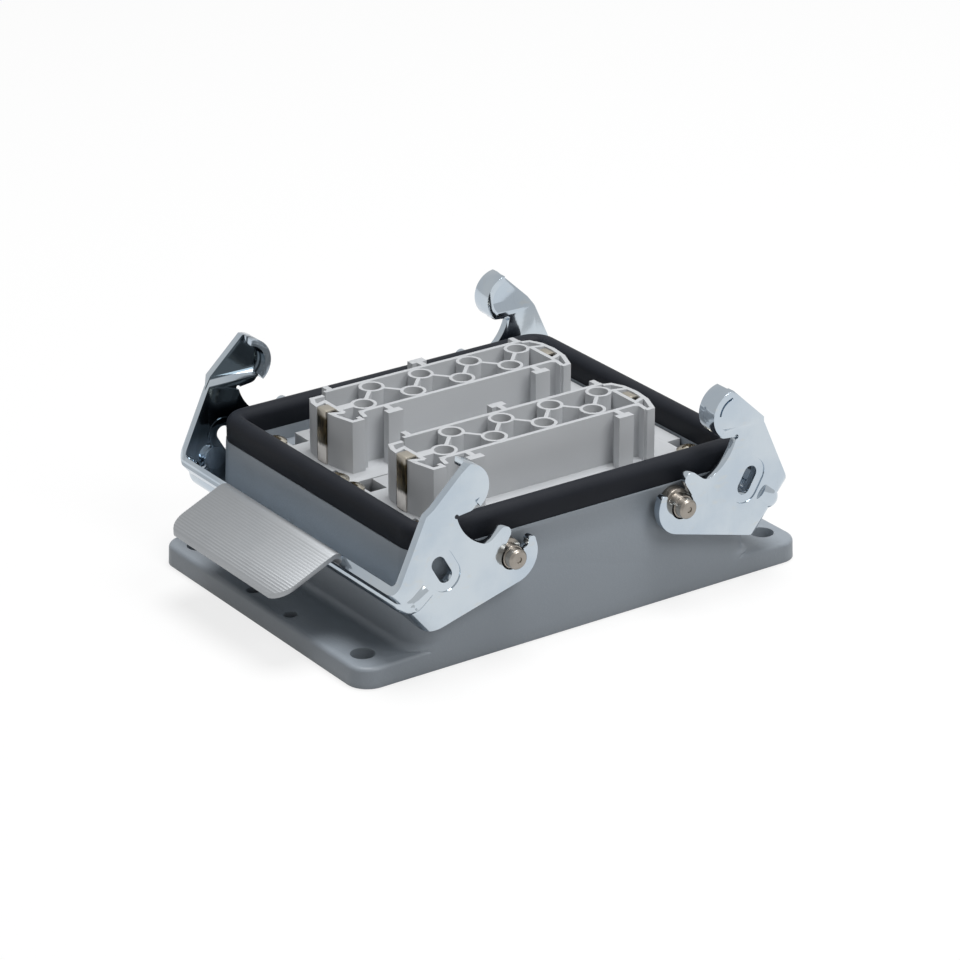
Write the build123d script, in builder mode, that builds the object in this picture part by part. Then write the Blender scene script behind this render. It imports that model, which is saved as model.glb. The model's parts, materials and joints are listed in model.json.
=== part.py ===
from build123d import *
from math import atan2, cos, degrees, radians, sin, tan
import os

# Heavy duty rectangular connector: a die cast surface mounting base with two contact inserts
# side by side and two locking levers. Millimetres, +Z up.
# The origin is the centre of the underside of the mounting flange, X runs along the connector.

# Mounting flange
plate_margin = 14.5
plate_thickness = 5.0
plate_corner_radius = 5.5
plate_edge_radius = 1.1
mount_hole_inset_x = 6.0
mount_hole_inset_y = 8.25
mount_hole_radius = 2.9
small_hole_radius = 1.7
small_hole_inset = 3.5
small_hole_places = (-9.0, 7.0)

# Housing walls
draft_angle = 2.27
body_corner_radius = 8.0
foot_radius = 2.0
slab_margin = 6.0
wall_top = 29.0
rim_width = 5.0
lower_wall = 4.0
ledge_drop = 3.5
ledge_thickness = 3.2
ledge_opening_radius = 2.0
pocket_corner_radius = 3.0
cavity_corner_radius = 4.0
boss_radius = 3.3
boss_length = 8.0

# Rim gasket, on a tongue that stands on the wall
gasket_height = 6.0
gasket_round = 2.3
gasket_step_back = 0.15
tongue_width = 1.6
tongue_height = 3.5
groove_clearance = 0.1

# Flange seal in its groove
seal_width = 2.4
seal_depth = 2.2
seal_clearance = 0.05
seal_groove_wall = 1.3

# Lever pins
pin_inset = 24.8
pin_drop = 4.4
pin_shank_radius = 2.5
pin_shank_length = 2.6
pin_collar_radius = 3.7
pin_collar_sink = 1.75
pin_collar_play = 0.05
pin_bearing_play = 0.2
pin_bearing_radius = 2.75
pin_nub_radius = 2.45
pin_nub_chamfer = 0.5
pin_nub_length = 2.5
pin_dimple_radius = 0.7
pin_dimple_depth = 0.4

# Locking levers, drawn from the pin: the first value outwards along X, the second upwards
lever_wall_gap = 1.25
lever_sheet = 2.0
lever_slot_clearance = 0.42
hook_radius = 6.9
hook_end_angle = 157.0
hook_relief_radius = 1.35
hook_relief = (-3.0, 2.65)
hook_inner_top = (-4.3, 3.0)
hook_crown = (-5.5, 3.75)
tooth_root = (2.6, 2.2)
tooth_nose = (0.6, 5.7)
tooth_crown = (1.3, 7.7)
tooth_back = (3.3, 7.6)
notch_floor_near = (5.6, 5.75)
notch_floor_mid = (6.8, 5.25)
notch_floor_far = (8.2, 5.35)
notch_side = (12.4, 8.2)
notch_corner = (15.4, 13.8)
notch_relief_radius = 0.55
ear_heel = (11.9, 14.2)
ear_heel_arc = (10.9, 14.55)
ear_centre = (13.6, 20.3)
ear_radius = 6.1
ear_heel_angle = 237.0
ear_crown_angle = 95.0
edge_kink_top = (22.4, 17.7)
edge_kink_low = (23.8, 15.2)
bottom_slope = 15.1
bottom_corner_radius = 1.8

# Ear joggle and thumb rim
joggle_low = 15.7
joggle_high = 17.7
joggle_offset = 1.3
rim_reach = 3.7
rim_thickness = 1.7
rim_groove_width = 0.5
rim_groove_depth = 0.9
rim_groove_end_angle = 175.0
rim_start_angle = 98.0
rim_end_angle = 232.0

# Crossbar that joins the two arms of a lever
band_tilt = 51.3
band_wall_gap = 1.19
band_low = 9.2
band_high = 18.4
band_top_inset = 0.6
band_relief_taper = 5.0
bend_radius = 3.5
arm_overlap = 1.0
bead_level = 12.8
bead_leg = 19.5
bead_radius = 2.9
bead_groove_radius = 1.3

# Slotted hole in each arm with its embossed rim
lever_hole_centre = (19.2, 1.7)
lever_hole_length = 7.3
lever_hole_width = 3.7
lever_hole_turn = 60.0
emboss_margin = 2.1
emboss_depth = 0.4

# Hand tab of the left lever
tab_half_width = 24.2
tab_sheet = 1.1
tab_fold_level = 20.54
tab_fold_radius = 1.8
tab_droop = 24.0
tab_length = 18.15
tab_corner_radius = 5.0
tab_rib_pitch = 0.78
tab_rib_size = 0.42
tab_rib_first = 1.3

# Contact inserts
insert_gap = 0.4
insert_end_clearance = 0.6
insert_side_clearance = 4.4
flange_end_margin = 13.75
flange_width = 33.0
flange_height = 3.2
flange_corner_radius = 1.2
notch_length = 11.0
notch_depth = 6.2
lug_radius = 2.95
slit_length = 6.7
slit_width = 2.3
slit_y = -9.05
scoop_length = 3.85
scoop_width = 3.9
scoop_y = -7.55
screw_inset_x = 3.5
screw_inset_y = 3.0
nose_height = 13.0
cell_floor_height = 2.8
nose_wall = 1.1
nose_half_width = 8.0
nose_end_margin = 3.65
bore_radius = 2.35
tube_radius = 3.15
zigzag_rib = 0.95
contact_pitch = 14.1
row_offset = 3.9
row_stagger = 7.4
contacts_per_row = 4
rear_margin = 3.5
rear_width = 26.0
rear_depth = 19.5
rear_end_clearance = 3.0
rear_side_clearance = 3.8
rear_corner_radius = 1.5

# Coding ribs of the insert's nose, the end ones measured from its ends
front_rib_inset = 7.3
back_rib_place = 0.5
rib_stem = 1.5
rib_stem_length = 2.1
rib_head_length = 4.2
rib_head_depth = 2.1
left_end_rib_inset = 1.9
right_end_rib_inset = 0.9
end_rib_reach = 10.9

# End chambers of the nose, as centre lines of their walls: X outwards from the nose's end, then Y
cap_wall = 1.15
left_cap_upper = [(1.4, 5.6), (4.7, 5.6), (5.7, 3.4), (5.9, 1.6), (3.1, 2.5), (3.1, -5.9)]
left_cap_lower = [(3.1, -5.9), (5.9, -4.6), (5.7, -6.6), (4.4, -11.5), (1.9, -11.5), (1.9, -9.8)]
left_cap_tie = (1.0, -3.0)
left_cap_tie_size = (4.6, 2.6)
left_wall_turn = [(-1.3, -7.45), (-0.1, -8.3), (0.4, -10.8)]
right_cap_outer = [
    (-0.3, 6.6), (1.7, 6.0), (3.1, 3.0), (3.5, -1.2), (2.9, -6.2), (0.9, -11.2), (-1.1, -11.4),
]
right_wall_turn = [(-2.0, -7.45), (-0.5, -8.4), (-0.9, -11.2)]
right_cap_pocket = [(3.0, 1.6), (-0.3, 2.6), (-0.3, -6.2), (2.9, -5.0)]

# Earth contact strips of the inserts: X outwards from the nose's end, then Z from its top
strip_width = 3.6
strip_thickness = 0.5
left_strip_y = -2.15
right_strip_y = -1.7
strip_fold_radius = 0.3
left_strip_line = [(4.1, -7.7), (4.1, 0.3), (6.85, 0.3), (6.85, -12.9)]
right_strip_line = [(0.55, -9.7), (0.55, -0.25), (2.32, -0.25), (2.32, -9.7)]

# Insert screws and terminal parts
screw_shank_radius = 1.5
screw_hole_clearance = 0.08
screw_length = 9.5
screw_head_radius = 2.9
screw_head_height = 1.9
screw_head_chamfer = 0.7
cross_width = 0.8
cross_length = 3.6
cross_depth = 1.0
contact_radius = 2.1
contact_sink = 2.1
wire_entry_depth = 6.0
contact_bore_radius = 1.3
contact_bore_depth = 14.0
terminal_height = 9.0
terminal_screw_radius = 1.9
terminal_screw_gap = 0.7
terminal_screw_sink = 0.8
terminal_slot = 0.6
wire_entry_radius = 2.4

os.makedirs("parts", exist_ok=True)


def inward(half_size, height):
    # Half size of a drafted wall at a height above the underside
    return half_size - height * tan(radians(draft_angle))


def drafted_block(length, width, radius, height, mode=Mode.ADD):
    # Rounded block that starts on the underside and narrows upwards by the draft
    with BuildSketch() as footprint:
        RectangleRounded(length, width, radius)
    extrude(footprint.sketch, amount=height, taper=draft_angle, mode=mode)


# The insert's plan follows from its contacts
rows_length = (contacts_per_row - 1) * contact_pitch + row_stagger
nose_half_length = rows_length / 2 + nose_end_margin
flange_length = 2 * (nose_half_length + flange_end_margin)
rear_length = 2 * (nose_half_length + rear_margin)
screw_spacing_x = flange_length - 2 * screw_inset_x
screw_spacing_y = flange_width - 2 * screw_inset_y
insert_spacing = flange_width + insert_gap

# The housing's plan follows from its two inserts
pocket_length = flange_length + 2 * insert_end_clearance
pocket_width = insert_spacing + flange_width + 2 * insert_side_clearance
ledge_opening_length = rear_length + 2 * rear_end_clearance
ledge_opening_width = insert_spacing + rear_width + 2 * rear_side_clearance
rim_half_length = pocket_length / 2 + rim_width
rim_half_width = pocket_width / 2 + rim_width
rim_corner_radius = inward(body_corner_radius, wall_top)
draft_run = wall_top * tan(radians(draft_angle))
body_length = 2 * (rim_half_length + draft_run)
plate_width = 2 * (rim_half_width + draft_run)
plate_length = body_length + 2 * plate_margin
mount_spacing_x = plate_length - 2 * mount_hole_inset_x
mount_spacing_y = plate_width - 2 * mount_hole_inset_y

# Heights
ledge_top = wall_top - ledge_drop
flange_top = ledge_top + flange_height
cell_floor = flange_top + cell_floor_height
nose_top = flange_top + nose_height
contact_top = nose_top - contact_sink
rear_bottom = ledge_top - rear_depth
contact_bottom = rear_bottom + wire_entry_depth
terminal_z = rear_bottom + terminal_height

# A terminal screw reaches from its sunk head to the gap it keeps from its contact
screw_depth = rear_width / 2 - terminal_screw_sink
terminal_screw_length = screw_depth - row_offset - contact_radius - terminal_screw_gap

# Lever pins and the levers' planes
pin_x = body_length / 2 - pin_inset
pin_z = wall_top - pin_drop
pin_collar_seat = plate_width / 2 - pin_collar_sink
lever_inner_y = plate_width / 2 + lever_wall_gap
lever_outer_y = lever_inner_y + lever_sheet
bearing_end = lever_outer_y + pin_bearing_play
pin_reach = lever_outer_y + pin_nub_length

# The crossbar passes the housing's end wall at a gap, measured where its lower edge is
wall_distance = inward(body_length / 2, pin_z) - pin_x
wall_reach = wall_distance / sin(radians(band_tilt)) - band_low / tan(radians(band_tilt))
band_reach = wall_reach + band_wall_gap + lever_sheet

# The arm's bottom edge runs at a lean to the crossbar and meets its outer face at a corner
lean = radians(band_tilt + bottom_slope)
bottom_run = (band_reach - hook_radius * cos(lean)) / sin(lean)
corner_level = bottom_run * cos(lean) - hook_radius * sin(lean)

insert_places = {"front": -insert_spacing / 2, "back": insert_spacing / 2}
screw_places = [
    (x, y + sign * screw_spacing_y / 2)
    for y in insert_places.values()
    for sign in (-1, 1)
    for x in (-screw_spacing_x / 2, screw_spacing_x / 2)
]
pin_places = {
    "left_front": (-pin_x, -1),
    "left_back": (-pin_x, 1),
    "right_front": (pin_x, -1),
    "right_back": (pin_x, 1),
}
screw_hole_radius = screw_shank_radius + screw_hole_clearance


def pin_plane(x, side, distance):
    # Plane square to a lever pin, facing out of the housing at a distance from its middle
    return Plane(origin=(x, side * distance, pin_z), x_dir=(1, 0, 0), z_dir=(0, side, 0))


# Mounting flange with its rounded upper edge
with BuildPart() as flange_plate:
    drafted_block(plate_length, plate_width, plate_corner_radius, plate_thickness)
    fillet(flange_plate.faces().sort_by(Axis.Z)[-1].edges(), plate_edge_radius)

# Base housing
with BuildPart() as base_housing:
    # Walls with a filleted foot all round, on a slab wider than the flange
    drafted_block(
        body_length + 2 * slab_margin,
        plate_width + 2 * slab_margin,
        body_corner_radius + slab_margin,
        plate_thickness,
    )
    drafted_block(body_length, plate_width, body_corner_radius, wall_top)
    slab_level = base_housing.edges().filter_by_position(Axis.Z, plate_thickness, plate_thickness)
    fillet(slab_level.sort_by(SortBy.DISTANCE)[:8], foot_radius)
    drafted_block(
        body_length + slab_margin,
        plate_width,
        body_corner_radius + foot_radius,
        wall_top,
        mode=Mode.INTERSECT,
    )
    add(flange_plate.part)

    # Lower cavity, the ledge's opening and the pocket above the ledge
    drafted_block(
        body_length - 2 * lower_wall,
        plate_width - 2 * lower_wall,
        cavity_corner_radius,
        ledge_top - ledge_thickness,
        mode=Mode.SUBTRACT,
    )
    with BuildSketch(Plane.XY.offset(ledge_top - ledge_thickness)):
        RectangleRounded(ledge_opening_length, ledge_opening_width, ledge_opening_radius)
    extrude(amount=ledge_thickness, mode=Mode.SUBTRACT)
    with BuildSketch(Plane.XY.offset(ledge_top)):
        RectangleRounded(pocket_length, pocket_width, pocket_corner_radius)
    extrude(amount=wall_top - ledge_top, mode=Mode.SUBTRACT)

    # Tongue that the gasket sits on
    tongue_inset = (rim_width - tongue_width) / 2
    with BuildSketch(Plane.XY.offset(wall_top)):
        RectangleRounded(
            2 * (rim_half_length - tongue_inset),
            2 * (rim_half_width - tongue_inset),
            rim_corner_radius - tongue_inset,
        )
        RectangleRounded(
            2 * (rim_half_length - tongue_inset - tongue_width),
            2 * (rim_half_width - tongue_inset - tongue_width),
            rim_corner_radius - tongue_inset - tongue_width,
            mode=Mode.SUBTRACT,
        )
    extrude(amount=tongue_height)

    # Bosses and holes for the insert screws
    with BuildSketch(Plane.XY.offset(ledge_top - ledge_thickness)):
        with Locations(*screw_places):
            Circle(boss_radius)
    extrude(amount=-boss_length)
    with BuildSketch(Plane.XY.offset(ledge_top)):
        with Locations(*screw_places):
            Circle(screw_hole_radius)
    extrude(amount=-(ledge_thickness + boss_length), mode=Mode.SUBTRACT)

    # Seats of the lever pins: a blind hole with a counterbore for the collar
    for pin_place, side in pin_places.values():
        with BuildSketch(pin_plane(pin_place, side, pin_collar_seat - pin_shank_length)):
            Circle(pin_shank_radius)
        extrude(amount=plate_width / 2, mode=Mode.SUBTRACT)
        with BuildSketch(pin_plane(pin_place, side, pin_collar_seat)):
            Circle(pin_collar_radius + pin_collar_play)
        extrude(amount=plate_width / 2, mode=Mode.SUBTRACT)

    # Mounting holes and the two small holes at the left end
    with BuildSketch():
        with GridLocations(mount_spacing_x, mount_spacing_y, 2, 2):
            Circle(mount_hole_radius)
        with Locations(*[(small_hole_inset - plate_length / 2, y) for y in small_hole_places]):
            Circle(small_hole_radius)
    extrude(amount=plate_thickness, mode=Mode.SUBTRACT)

    # Groove for the flange seal
    with BuildSketch():
        RectangleRounded(
            body_length - 2 * seal_groove_wall,
            plate_width - 2 * seal_groove_wall,
            body_corner_radius - seal_groove_wall,
        )
        RectangleRounded(
            body_length - 2 * (seal_groove_wall + seal_width),
            plate_width - 2 * (seal_groove_wall + seal_width),
            body_corner_radius - seal_groove_wall - seal_width,
            mode=Mode.SUBTRACT,
        )
    extrude(amount=seal_depth, mode=Mode.SUBTRACT)
base_housing.part.label = "base_housing"
export_step(base_housing.part, "parts/base_housing.step")

# Flange seal
with BuildPart() as flange_seal:
    with BuildSketch():
        RectangleRounded(
            body_length - 2 * (seal_groove_wall + seal_clearance),
            plate_width - 2 * (seal_groove_wall + seal_clearance),
            body_corner_radius - seal_groove_wall - seal_clearance,
        )
        RectangleRounded(
            body_length - 2 * (seal_groove_wall + seal_width - seal_clearance),
            plate_width - 2 * (seal_groove_wall + seal_width - seal_clearance),
            body_corner_radius - seal_groove_wall - seal_width + seal_clearance,
            mode=Mode.SUBTRACT,
        )
    extrude(amount=seal_depth - seal_clearance)
flange_seal.part.label = "flange_seal"
export_step(flange_seal.part, "parts/flange_seal.step")

# Rim gasket
with BuildPart() as rim_gasket:
    gasket_half_length = rim_half_length - gasket_step_back
    gasket_half_width = rim_half_width - gasket_step_back
    gasket_corner_radius = rim_corner_radius - gasket_step_back
    gasket_width = rim_width - gasket_step_back
    with BuildSketch(Plane.XY.offset(wall_top)):
        RectangleRounded(2 * gasket_half_length, 2 * gasket_half_width, gasket_corner_radius)
        RectangleRounded(
            2 * (gasket_half_length - gasket_width),
            2 * (gasket_half_width - gasket_width),
            gasket_corner_radius - gasket_width,
            mode=Mode.SUBTRACT,
        )
    extrude(amount=gasket_height)
    fillet(rim_gasket.faces().sort_by(Axis.Z)[-1].edges(), gasket_round)
    with BuildSketch(Plane.XY.offset(wall_top)):
        RectangleRounded(
            2 * (rim_half_length - tongue_inset + groove_clearance),
            2 * (rim_half_width - tongue_inset + groove_clearance),
            rim_corner_radius - tongue_inset + groove_clearance,
        )
        RectangleRounded(
            2 * (rim_half_length - tongue_inset - tongue_width - groove_clearance),
            2 * (rim_half_width - tongue_inset - tongue_width - groove_clearance),
            rim_corner_radius - tongue_inset - tongue_width - groove_clearance,
            mode=Mode.SUBTRACT,
        )
    extrude(amount=tongue_height + groove_clearance, mode=Mode.SUBTRACT)
rim_gasket.part.label = "rim_gasket"
export_step(rim_gasket.part, "parts/rim_gasket.step")

# Lever pins: pressed shank, collar, bearing for the lever and a chamfered end with a centre dimple
for pin_name, (pin_place, side) in pin_places.items():
    with BuildPart() as lever_pin:
        sections = [
            (pin_shank_radius, pin_collar_seat - pin_shank_length, pin_collar_seat),
            (pin_collar_radius, pin_collar_seat, lever_inner_y - pin_collar_play),
            (pin_bearing_radius, lever_inner_y - pin_collar_play, bearing_end),
            (pin_nub_radius, bearing_end, pin_reach),
        ]
        for radius, start, end in sections:
            with BuildSketch(pin_plane(pin_place, side, start)):
                Circle(radius)
            extrude(amount=end - start)
        end_face = lever_pin.faces().sort_by(Axis.Y)[-1 if side > 0 else 0]
        chamfer(end_face.edges(), pin_nub_chamfer)
        with BuildSketch(pin_plane(pin_place, side, pin_reach)):
            Circle(pin_dimple_radius)
        extrude(amount=-pin_dimple_depth, mode=Mode.SUBTRACT)
    lever_pin.part.label = f"lever_pin_{pin_name}"
    export_step(lever_pin.part, f"parts/lever_pin_{pin_name}.step")


def polar(radius, angle, centre=(0, 0)):
    # Point on a circle, in a lever's own drawing
    return (
        centre[0] + radius * cos(radians(angle)),
        centre[1] + radius * sin(radians(angle)),
    )


def band_point(reach, level):
    # Point at a distance from the pin square to the crossbar, and at a level along it
    return (
        reach * sin(radians(band_tilt)) + level * cos(radians(band_tilt)),
        -reach * cos(radians(band_tilt)) + level * sin(radians(band_tilt)),
    )


def lever_outline():
    # Side view of the whole lever, from the hook's tip round the outside and back to the slot
    slot_radius = pin_bearing_radius + lever_slot_clearance
    hook_tip = polar(hook_radius, hook_end_angle)
    bottom_start = polar(hook_radius, -90 - bottom_slope)
    corner_set = bottom_corner_radius * tan(lean / 2)
    bottom_end = polar(bottom_run - corner_set, -bottom_slope, bottom_start)
    corner_end = band_point(band_reach, corner_level + corner_set)
    hook_side = polar(hook_radius, (hook_end_angle + 270 - bottom_slope) / 2)
    beyond = band_reach + lever_sheet
    ear_crown = polar(ear_radius, ear_crown_angle, ear_centre)
    ear_side = polar(ear_radius, 180, ear_centre)
    ear_low = polar(ear_radius, ear_heel_angle, ear_centre)
    slot_open = polar(slot_radius, degrees(atan2(tooth_root[1], tooth_root[0])))
    slot_close = polar(slot_radius, degrees(atan2(hook_relief[1], hook_relief[0])))
    with BuildLine() as outline:
        Line(slot_close, hook_inner_top)
        ThreePointArc(hook_inner_top, hook_crown, hook_tip)
        ThreePointArc(hook_tip, hook_side, bottom_start)
        bottom_edge = Line(bottom_start, bottom_end)
        TangentArc(bottom_end, corner_end, tangent=bottom_edge % 1)
        Polyline(
            corner_end,
            band_point(beyond, corner_level + corner_set),
            band_point(beyond, band_high),
            band_point(band_reach - band_top_inset, band_high),
            edge_kink_low,
            edge_kink_top,
            ear_crown,
        )
        ThreePointArc(ear_crown, ear_side, ear_low)
        ThreePointArc(ear_low, ear_heel_arc, ear_heel)
        Line(ear_heel, notch_corner)
        ThreePointArc(notch_corner, notch_side, notch_floor_far)
        ThreePointArc(notch_floor_far, notch_floor_mid, notch_floor_near)
        Line(notch_floor_near, tooth_back)
        ThreePointArc(tooth_back, tooth_crown, tooth_nose)
        Polyline(tooth_nose, tooth_root, slot_open)
        ThreePointArc(slot_open, (0, -slot_radius), slot_close)
    return outline.edges()


# Frames of the right lever: its side view, and the sections square to the crossbar and to the arms
side_view = Plane(origin=(pin_x, 0, pin_z), x_dir=(1, 0, 0), z_dir=(0, -1, 0))
across_band = (cos(radians(band_tilt)), 0, sin(radians(band_tilt)))
out_of_band = (sin(radians(band_tilt)), 0, -cos(radians(band_tilt)))
band_section = Plane(origin=(pin_x, 0, pin_z), x_dir=out_of_band, z_dir=across_band)
band_from_pin = Plane(origin=(pin_x, 0, pin_z), x_dir=(0, 1, 0), z_dir=out_of_band)
arm_section = Plane(origin=(pin_x, 0, pin_z), x_dir=(0, 1, 0), z_dir=(1, 0, 0))
flat_reach = band_reach - bend_radius
arm_start = hook_radius + lever_sheet
arm_end = band_reach + bend_radius
arm_foot = -band_reach
arm_head = ear_centre[1] + ear_radius + lever_sheet
band_inner = band_reach - lever_sheet
ear_inner_y = lever_inner_y + joggle_offset
ear_outer_y = lever_outer_y + joggle_offset

with BuildPart() as right_lever:
    # Flat arms with the joggle under the ear
    with BuildSketch(arm_section.offset(-arm_start)):
        with BuildLine():
            Polyline(
                (lever_inner_y, arm_foot),
                (lever_inner_y, joggle_low),
                (ear_inner_y, joggle_high),
                (ear_inner_y, arm_head),
                (ear_outer_y, arm_head),
                (ear_outer_y, joggle_high),
                (lever_outer_y, joggle_low),
                (lever_outer_y, arm_foot),
                close=True,
            )
        make_face()
        mirror(about=Plane.YZ)
    extrude(amount=arm_start + arm_end)
    split(bisect_by=band_from_pin.offset(flat_reach), keep=Keep.BOTTOM)

    # Crossbar with its two bends, as a channel section along the band
    with BuildSketch(band_section.offset(corner_level - lever_sheet)):
        with Locations((band_reach / 2, 0)):
            RectangleRounded(band_reach, 2 * lever_outer_y, bend_radius)
        with Locations((band_inner / 2, 0)):
            RectangleRounded(
                band_inner, 2 * lever_inner_y, bend_radius - lever_sheet, mode=Mode.SUBTRACT
            )
        with Locations((flat_reach - arm_overlap, 0)):
            Rectangle(
                flat_reach, 2 * lever_outer_y, align=(Align.MAX, Align.CENTER), mode=Mode.SUBTRACT
            )
    extrude(amount=band_high - corner_level + 2 * lever_sheet)
    with BuildSketch(side_view):
        make_face(lever_outline())
    extrude(amount=ear_outer_y + lever_sheet, both=True, mode=Mode.INTERSECT)

    # Relief of the crossbar's lower edge, where it passes the housing's end wall
    relief_foot = lever_outer_y - bend_radius
    relief_half = relief_foot - band_relief_taper
    with BuildSketch(band_from_pin.offset(flat_reach)):
        with BuildLine():
            Polyline(
                (-relief_foot, corner_level - lever_sheet),
                (-relief_foot, corner_level),
                (-relief_half, band_low),
                (relief_half, band_low),
                (relief_foot, corner_level),
                (relief_foot, corner_level - lever_sheet),
                close=True,
            )
        make_face()
    extrude(amount=2 * bend_radius, mode=Mode.SUBTRACT)

    # Thumb rims: the ear's edge turned inwards, with a groove where it parts from the ear's face
    rim_sweep = rim_end_angle - rim_start_angle
    groove_sweep = rim_groove_end_angle - rim_start_angle
    groove_radius = ear_radius - rim_thickness - rim_groove_width / 2
    for side in (-1, 1):
        with BuildSketch(side_view.offset(side * ear_outer_y)):
            with BuildLine():
                CenterArc(ear_centre, ear_radius - rim_thickness / 2, rim_start_angle, rim_sweep)
            trace(line_width=rim_thickness)
        extrude(amount=-side * (lever_sheet + rim_reach))
        with BuildSketch(side_view.offset(side * ear_outer_y)):
            with BuildLine():
                CenterArc(ear_centre, groove_radius, rim_start_angle, groove_sweep)
            trace(line_width=rim_groove_width)
        extrude(amount=-side * rim_groove_depth, mode=Mode.SUBTRACT)

    # Stiffening bead round the crossbar, raised outside and hollow inside
    with BuildLine(band_section.offset(bead_level)) as bead_path:
        FilletPolyline(
            (bead_leg, lever_inner_y),
            (band_inner, lever_inner_y),
            (band_inner, -lever_inner_y),
            (bead_leg, -lever_inner_y),
            radius=bend_radius - lever_sheet,
        )
    bead_plane = Plane(origin=bead_path.line @ 0, x_dir=(0, 1, 0), z_dir=bead_path.line % 0)
    with BuildSketch(bead_plane):
        Circle(bead_radius)
        Rectangle(bead_radius, 2 * bead_radius, align=(Align.MAX, Align.CENTER), mode=Mode.SUBTRACT)
    sweep(path=bead_path.line)
    with Locations(bead_path.line @ 0):
        Sphere(bead_radius, arc_size1=0, rotation=(-90, 0, 0))
    with Locations(bead_path.line @ 1):
        Sphere(bead_radius, arc_size1=0, rotation=(90, 0, 0))
    with BuildSketch(bead_plane):
        Circle(bead_groove_radius)
    sweep(path=bead_path.line, mode=Mode.SUBTRACT)
    with Locations(bead_path.line @ 0, bead_path.line @ 1):
        Sphere(bead_groove_radius, mode=Mode.SUBTRACT)

    # Rims of the slotted holes, sunk on the outside of each arm and raised on its inside
    emboss_length = lever_hole_length + 2 * emboss_margin
    emboss_width = lever_hole_width + 2 * emboss_margin
    for side in (-1, 1):
        for face_y, rim_mode in ((lever_inner_y, Mode.ADD), (lever_outer_y, Mode.SUBTRACT)):
            with BuildSketch(side_view.offset(side * face_y)):
                with Locations(Location(lever_hole_centre, lever_hole_turn)):
                    SlotOverall(emboss_length, emboss_width)
            extrude(amount=-side * emboss_depth, mode=rim_mode)

    # Slotted holes, the hook's relief and the notch's bend relief
    with BuildSketch(side_view):
        with Locations(Location(lever_hole_centre, lever_hole_turn)):
            SlotOverall(lever_hole_length, lever_hole_width)
        with Locations(hook_relief):
            Circle(hook_relief_radius)
        with Locations(notch_corner):
            Circle(notch_relief_radius)
    extrude(amount=ear_outer_y + lever_sheet, both=True, mode=Mode.SUBTRACT)
right_lever.part.label = "right_lever"
export_step(right_lever.part, "parts/right_lever.step")

# Hand tab: a thin folded sheet with fine grip ribs, drawn like the right lever's side
tab_reach = band_inner + tab_sheet / 2
tab_direction = (cos(radians(tab_droop)), -sin(radians(tab_droop)))
tab_up = (sin(radians(tab_droop)), cos(radians(tab_droop)))
tab_corner = band_point(tab_reach, tab_fold_level)
tab_fold_set = tab_fold_radius * tan(radians((band_tilt + tab_droop) / 2))
tab_rib_run = tab_length - tab_fold_set - tab_rib_first - tab_rib_size
tab_rib_count = 1 + int(tab_rib_run / tab_rib_pitch)
tab_end = (
    tab_corner[0] + tab_length * tab_direction[0],
    tab_corner[1] + tab_length * tab_direction[1],
)


def tab_rib_place(index):
    # Centre of a grip rib on the tab's upper face, counted from the free edge
    back = tab_rib_first + index * tab_rib_pitch
    return (
        tab_end[0] - back * tab_direction[0] + tab_sheet / 2 * tab_up[0],
        tab_end[1] - back * tab_direction[1] + tab_sheet / 2 * tab_up[1],
    )


with BuildPart() as hand_tab:
    with BuildSketch(side_view):
        with BuildLine():
            FilletPolyline(
                band_point(tab_reach, band_high - lever_sheet),
                tab_corner,
                tab_end,
                radius=tab_fold_radius,
            )
        trace(line_width=tab_sheet)
        with Locations(*[tab_rib_place(index) for index in range(tab_rib_count)]):
            Rectangle(tab_rib_size, tab_rib_size, rotation=45 - tab_droop)
    extrude(amount=tab_half_width, both=True)
    with BuildSketch():
        tab_tip_x = pin_x + tab_end[0]
        with Locations((tab_tip_x - tab_length, 0)):
            RectangleRounded(2 * tab_length, 2 * tab_half_width, tab_corner_radius)
            Rectangle(tab_length, 2 * tab_half_width, align=(Align.MAX, Align.CENTER))
    extrude(amount=wall_top + gasket_height, mode=Mode.INTERSECT)

# Left lever: the same pressing turned round, with the tab on its crossbar
with BuildPart() as left_lever:
    add(mirror(right_lever.part, about=Plane.YZ, mode=Mode.PRIVATE))
    add(mirror(hand_tab.part, about=Plane.YZ, mode=Mode.PRIVATE))
left_lever.part.label = "left_lever"
export_step(left_lever.part, "parts/left_lever.step")

# Contact places of an insert, in two staggered rows, from its own centre
row_steps = [index * contact_pitch for index in range(contacts_per_row)]
front_row = [(step - rows_length / 2, -row_offset) for step in row_steps]
back_row = [(step - rows_length / 2 + row_stagger, row_offset) for step in row_steps]
contact_places = front_row + back_row
zigzag_places = [place for pair in zip(front_row, back_row) for place in pair]
wall_middle = nose_half_width - nose_wall / 2


def at_end(side, points):
    # Points of an end chamber, from the nose's left (-1) or right (1) end
    return [(side * (nose_half_length + x), y) for x, y in points]


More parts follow.
